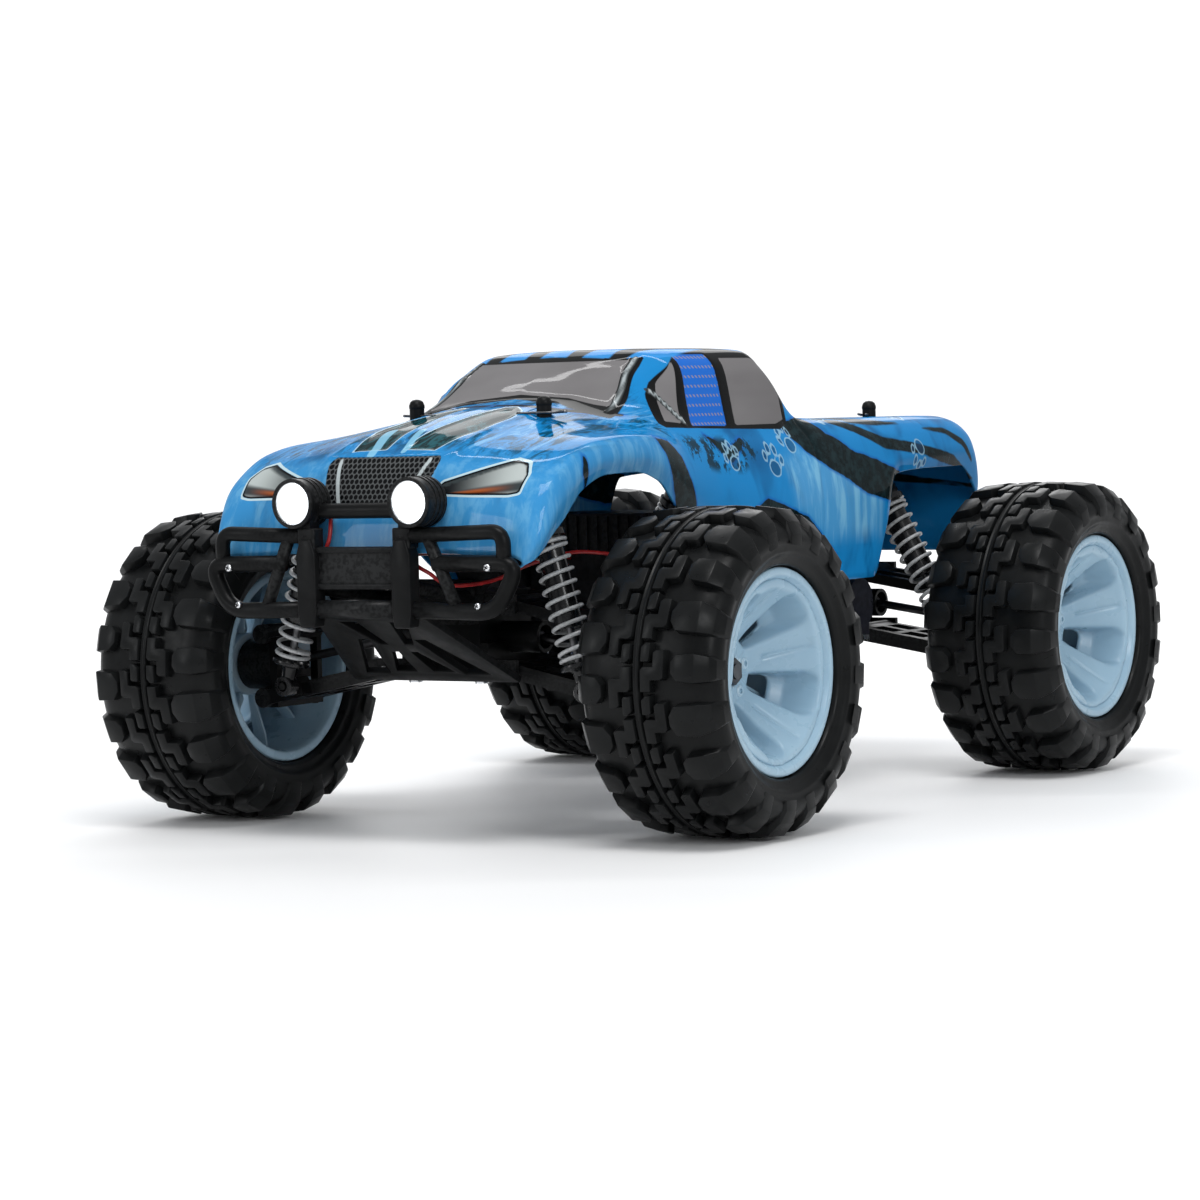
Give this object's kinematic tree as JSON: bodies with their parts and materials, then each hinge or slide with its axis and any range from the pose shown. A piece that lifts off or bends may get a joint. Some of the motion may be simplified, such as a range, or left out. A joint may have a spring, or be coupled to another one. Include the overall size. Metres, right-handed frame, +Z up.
{
  "type": "radio controlled monster truck",
  "caption": "Four-wheel-drive scale monster truck with painted shell, sprung wishbones, steered front wheels, tube bumper and lamps.",
  "frame": {"origin": "on the ground, in the middle of the truck's overall box", "axes": "+X to the truck's left, -Y forwards (the lamps' side), +Z up"},
  "size_m": [0.2964, 0.4108, 0.1878],
  "materials": {
    "tyre": "satin moulded rubber",
    "rim_plastic": "pale moulded plastic",
    "steel": "bright steel",
    "dark_steel": "dark steel",
    "spring_steel": "silver coil",
    "black_plastic": "filled nylon",
    "damper_plastic": "smooth moulded",
    "white_plastic": "plain moulded",
    "case_plastic": "fine grained",
    "aluminium": "anodised sheet",
    "painted_shell": "clear shell painted from inside",
    "red_cable": "cable jacket",
    "motor_can": "plated can",
    "brass": "machined",
    "gear_plastic": "moulded gear",
    "battery_wrap": "shrink wrap"
  },
  "bodies": {
    "chassis": {"chassis_plate": "aluminium", "gearboxes": "black_plastic", "shock_towers": "black_plastic", "front_bumper": "black_plastic", "body_shell": "painted_shell", "lamp_housings": "black_plastic", "lamp_leads": "red_cable", "motor": "motor_can", "battery_pack": "battery_wrap", "radio_box": "case_plastic", "steering_servo": "case_plastic", "fasteners": "steel"},
    "centre_shaft": {"centre_shaft": "gear_plastic"},
    "pinion": {"pinion_gear": "brass"},
    "servo_horn": {"servo_horn": "white_plastic"},
    "steering_rack": {"steering_rack": "black_plastic"},
    "tie_rod_left": {"tie_rod_left": "black_plastic"},
    "tie_rod_right": {"tie_rod_right": "black_plastic"},
    "lower_arm_front_left": {"lower_arm_front_left": "black_plastic"},
    "upper_arm_front_left": {"upper_arm_front_left": "black_plastic"},
    "c_hub_left": {"c_hub_left": "black_plastic"},
    "knuckle_left": {"knuckle_left": "black_plastic"},
    "wheel_front_left": {"tyre_front_left": "tyre", "rim_front_left": "rim_plastic", "wheel_axle_front_left": "steel"},
    "dogbone_front_left": {"dogbone_front_left": "dark_steel"},
    "shock_body_front_left": {"shock_body_front_left": "damper_plastic", "spring_front_left": "spring_steel"},
    "shock_rod_front_left": {"shock_rod_front_left": "steel"},
    "lower_arm_front_right": {"lower_arm_front_right": "black_plastic"},
    "upper_arm_front_right": {"upper_arm_front_right": "black_plastic"},
    "c_hub_right": {"c_hub_right": "black_plastic"},
    "knuckle_right": {"knuckle_right": "black_plastic"},
    "wheel_front_right": {"tyre_front_right": "tyre", "rim_front_right": "rim_plastic", "wheel_axle_front_right": "steel"},
    "dogbone_front_right": {"dogbone_front_right": "dark_steel"},
    "shock_body_front_right": {"shock_body_front_right": "damper_plastic", "spring_front_right": "spring_steel"},
    "shock_rod_front_right": {"shock_rod_front_right": "steel"},
    "lower_arm_rear_left": {"lower_arm_rear_left": "black_plastic"},
    "upper_arm_rear_left": {"upper_arm_rear_left": "black_plastic"},
    "rear_hub_left": {"rear_hub_left": "black_plastic"},
    "wheel_rear_left": {"tyre_rear_left": "tyre", "rim_rear_left": "rim_plastic", "wheel_axle_rear_left": "steel"},
    "dogbone_rear_left": {"dogbone_rear_left": "dark_steel"},
    "shock_body_rear_left": {"shock_body_rear_left": "damper_plastic", "spring_rear_left": "spring_steel"},
    "shock_rod_rear_left": {"shock_rod_rear_left": "steel"},
    "lower_arm_rear_right": {"lower_arm_rear_right": "black_plastic"},
    "upper_arm_rear_right": {"upper_arm_rear_right": "black_plastic"},
    "rear_hub_right": {"rear_hub_right": "black_plastic"},
    "wheel_rear_right": {"tyre_rear_right": "tyre", "rim_rear_right": "rim_plastic", "wheel_axle_rear_right": "steel"},
    "dogbone_rear_right": {"dogbone_rear_right": "dark_steel"},
    "shock_body_rear_right": {"shock_body_rear_right": "damper_plastic", "spring_rear_right": "spring_steel"},
    "shock_rod_rear_right": {"shock_rod_rear_right": "steel"}
  },
  "joints": [
    {"name": "arm_front_left", "type": "hinge", "parent": "chassis", "child": "lower_arm_front_left", "pos_m": [0.03, -0.128, 0.0635], "axis": [0, -1, 0], "range_deg": [-8, 14], "stiffness_Nm_per_rad": 2.6, "springref_deg": -5.73},
    {"name": "upper_front_left", "type": "hinge", "parent": "chassis", "child": "upper_arm_front_left", "pos_m": [0.03, -0.128, 0.0895], "axis": [0, -1, 0], "range_deg": [-8.5, 14.5]},
    {"name": "hub_front_left", "type": "hinge", "parent": "lower_arm_front_left", "child": "c_hub_left", "pos_m": [0.092, -0.128, 0.051], "axis": [0, 1, 0], "range_deg": [-8.5, 14.5]},
    {"name": "steer_left", "type": "hinge", "parent": "c_hub_left", "child": "knuckle_left", "pos_m": [0.098, -0.128, 0.0635], "axis": [0, 0, 1], "range_deg": [-22.5, 22.5]},
    {"name": "spin_front_left", "type": "hinge", "parent": "knuckle_left", "child": "wheel_front_left", "pos_m": [0.1177, -0.128, 0.0635], "axis": [1, 0, 0], "continuous": true},
    {"name": "drive_front_left", "type": "hinge", "parent": "lower_arm_front_left", "child": "dogbone_front_left", "pos_m": [0.098, -0.128, 0.0635], "axis": [0.9825, 0, -0.1861], "continuous": true},
    {"name": "damper_tilt_front_left", "type": "hinge", "parent": "chassis", "child": "shock_body_front_left", "pos_m": [0.0533, -0.155, 0.128], "axis": [0, -1, 0], "range_deg": [-2.38, 3.72]},
    {"name": "damper_stroke_front_left", "type": "slide", "parent": "shock_body_front_left", "child": "shock_rod_front_left", "axis": [-0.2585, 0, 0.966], "range_m": [-0.006, 0.01013], "deforming": ["spring_front_left"]},
    {"name": "arm_front_right", "type": "hinge", "parent": "chassis", "child": "lower_arm_front_right", "pos_m": [-0.03, -0.128, 0.0635], "axis": [0, 1, 0], "range_deg": [-8, 14], "stiffness_Nm_per_rad": 2.6, "springref_deg": -5.73},
    {"name": "upper_front_right", "type": "hinge", "parent": "chassis", "child": "upper_arm_front_right", "pos_m": [-0.03, -0.128, 0.0895], "axis": [0, 1, 0], "range_deg": [-8.5, 14.5]},
    {"name": "hub_front_right", "type": "hinge", "parent": "lower_arm_front_right", "child": "c_hub_right", "pos_m": [-0.092, -0.128, 0.051], "axis": [0, -1, 0], "range_deg": [-8.5, 14.5]},
    {"name": "steer_right", "type": "hinge", "parent": "c_hub_right", "child": "knuckle_right", "pos_m": [-0.098, -0.128, 0.0635], "axis": [0, 0, 1], "range_deg": [-22.5, 22.5]},
    {"name": "spin_front_right", "type": "hinge", "parent": "knuckle_right", "child": "wheel_front_right", "pos_m": [-0.1177, -0.128, 0.0635], "axis": [1, 0, 0], "continuous": true},
    {"name": "drive_front_right", "type": "hinge", "parent": "lower_arm_front_right", "child": "dogbone_front_right", "pos_m": [-0.098, -0.128, 0.0635], "axis": [0.9825, 0, 0.1861], "continuous": true},
    {"name": "damper_tilt_front_right", "type": "hinge", "parent": "chassis", "child": "shock_body_front_right", "pos_m": [-0.0533, -0.155, 0.128], "axis": [0, 1, 0], "range_deg": [-2.38, 3.72]},
    {"name": "damper_stroke_front_right", "type": "slide", "parent": "shock_body_front_right", "child": "shock_rod_front_right", "axis": [0.2585, 0, 0.966], "range_m": [-0.006, 0.01013], "deforming": ["spring_front_right"]},
    {"name": "arm_rear_left", "type": "hinge", "parent": "chassis", "child": "lower_arm_rear_left", "pos_m": [0.03, 0.142, 0.061], "axis": [0, -1, 0], "range_deg": [-8, 14], "stiffness_Nm_per_rad": 2.6, "springref_deg": -5.73},
    {"name": "upper_rear_left", "type": "hinge", "parent": "chassis", "child": "upper_arm_rear_left", "pos_m": [0.03, 0.142, 0.087], "axis": [0, -1, 0], "range_deg": [-8.5, 14.5]},
    {"name": "hub_rear_left", "type": "hinge", "parent": "lower_arm_rear_left", "child": "rear_hub_left", "pos_m": [0.092, 0.142, 0.051], "axis": [0, 1, 0], "range_deg": [-8.5, 14.5]},
    {"name": "spin_rear_left", "type": "hinge", "parent": "rear_hub_left", "child": "wheel_rear_left", "pos_m": [0.1177, 0.142, 0.0635], "axis": [1, 0, 0], "continuous": true},
    {"name": "drive_rear_left", "type": "hinge", "parent": "lower_arm_rear_left", "child": "dogbone_rear_left", "pos_m": [0.098, 0.142, 0.0635], "axis": [0.9887, 0, -0.1498], "continuous": true},
    {"name": "damper_tilt_rear_left", "type": "hinge", "parent": "chassis", "child": "shock_body_rear_left", "pos_m": [0.0505, 0.115, 0.13], "axis": [0, -1, 0], "range_deg": [-2.83, 4.51]},
    {"name": "damper_stroke_rear_left", "type": "slide", "parent": "shock_body_rear_left", "child": "shock_rod_rear_left", "axis": [-0.4692, 0, 0.8831], "range_m": [-0.00758, 0.0129], "deforming": ["spring_rear_left"]},
    {"name": "arm_rear_right", "type": "hinge", "parent": "chassis", "child": "lower_arm_rear_right", "pos_m": [-0.03, 0.142, 0.061], "axis": [0, 1, 0], "range_deg": [-8, 14], "stiffness_Nm_per_rad": 2.6, "springref_deg": -5.73},
    {"name": "upper_rear_right", "type": "hinge", "parent": "chassis", "child": "upper_arm_rear_right", "pos_m": [-0.03, 0.142, 0.087], "axis": [0, 1, 0], "range_deg": [-8.5, 14.5]},
    {"name": "hub_rear_right", "type": "hinge", "parent": "lower_arm_rear_right", "child": "rear_hub_right", "pos_m": [-0.092, 0.142, 0.051], "axis": [0, -1, 0], "range_deg": [-8.5, 14.5]},
    {"name": "spin_rear_right", "type": "hinge", "parent": "rear_hub_right", "child": "wheel_rear_right", "pos_m": [-0.1177, 0.142, 0.0635], "axis": [1, 0, 0], "continuous": true},
    {"name": "drive_rear_right", "type": "hinge", "parent": "lower_arm_rear_right", "child": "dogbone_rear_right", "pos_m": [-0.098, 0.142, 0.0635], "axis": [0.9887, 0, 0.1498], "continuous": true},
    {"name": "damper_tilt_rear_right", "type": "hinge", "parent": "chassis", "child": "shock_body_rear_right", "pos_m": [-0.0505, 0.115, 0.13], "axis": [0, 1, 0], "range_deg": [-2.83, 4.51]},
    {"name": "damper_stroke_rear_right", "type": "slide", "parent": "shock_body_rear_right", "child": "shock_rod_rear_right", "axis": [0.4692, 0, 0.8831], "range_m": [-0.00758, 0.0129], "deforming": ["spring_rear_right"]},
    {"name": "servo_turn", "type": "hinge", "parent": "chassis", "child": "servo_horn", "pos_m": [-0.026, -0.0744, 0.074], "axis": [0, 0, 1], "range_deg": [-26, 26]},
    {"name": "rack_slide", "type": "slide", "parent": "chassis", "child": "steering_rack", "axis": [1, 0, 0], "range_m": [-0.0098, 0.0098]},
    {"name": "tie_slide_left", "type": "slide", "parent": "lower_arm_front_left", "child": "tie_rod_left", "axis": [1, 0, 0], "range_m": [-0.0098, 0.0098]},
    {"name": "tie_slide_right", "type": "slide", "parent": "lower_arm_front_right", "child": "tie_rod_right", "axis": [1, 0, 0], "range_m": [-0.0098, 0.0098]},
    {"name": "shaft_spin", "type": "hinge", "parent": "chassis", "child": "centre_shaft", "pos_m": [0, 0.036, 0.0755], "axis": [0, 1, 0], "continuous": true},
    {"name": "pinion_spin", "type": "hinge", "parent": "chassis", "child": "pinion", "pos_m": [-0.0192, 0.036, 0.08239], "axis": [0, 1, 0], "continuous": true}
  ],
  "couplings": [
    {"joint": "upper_front_left", "follows": "arm_front_left", "ratio": 1},
    {"joint": "hub_front_left", "follows": "arm_front_left", "ratio": 1},
    {"joint": "steer_left", "follows": "servo_turn", "ratio": -0.84615},
    {"joint": "drive_front_left", "follows": "spin_front_left", "ratio": 1},
    {"joint": "damper_tilt_front_left", "follows": "arm_front_left", "ratio": 0.22278},
    {"joint": "damper_stroke_front_left", "follows": "arm_front_left", "m_per_rad": 0.039401},
    {"joint": "upper_front_right", "follows": "arm_front_right", "ratio": 1},
    {"joint": "hub_front_right", "follows": "arm_front_right", "ratio": 1},
    {"joint": "steer_right", "follows": "servo_turn", "ratio": -0.84615},
    {"joint": "drive_front_right", "follows": "spin_front_right", "ratio": 1},
    {"joint": "damper_tilt_front_right", "follows": "arm_front_right", "ratio": 0.22278},
    {"joint": "damper_stroke_front_right", "follows": "arm_front_right", "m_per_rad": 0.039401},
    {"joint": "upper_rear_left", "follows": "arm_rear_left", "ratio": 1},
    {"joint": "hub_rear_left", "follows": "arm_rear_left", "ratio": 1},
    {"joint": "drive_rear_left", "follows": "spin_rear_left", "ratio": 1},
    {"joint": "damper_tilt_rear_left", "follows": "arm_rear_left", "ratio": 0.27905},
    {"joint": "damper_stroke_rear_left", "follows": "arm_rear_left", "m_per_rad": 0.050734},
    {"joint": "upper_rear_right", "follows": "arm_rear_right", "ratio": 1},
    {"joint": "hub_rear_right", "follows": "arm_rear_right", "ratio": 1},
    {"joint": "drive_rear_right", "follows": "spin_rear_right", "ratio": 1},
    {"joint": "damper_tilt_rear_right", "follows": "arm_rear_right", "ratio": 0.27905},
    {"joint": "damper_stroke_rear_right", "follows": "arm_rear_right", "m_per_rad": 0.050734},
    {"joint": "rack_slide", "follows": "servo_turn", "m_per_rad": 0.0199},
    {"joint": "tie_slide_left", "follows": "servo_turn", "m_per_rad": 0.0199},
    {"joint": "tie_slide_right", "follows": "servo_turn", "m_per_rad": 0.0199},
    {"joint": "pinion_spin", "follows": "shaft_spin", "ratio": -1.8333}
  ]
}
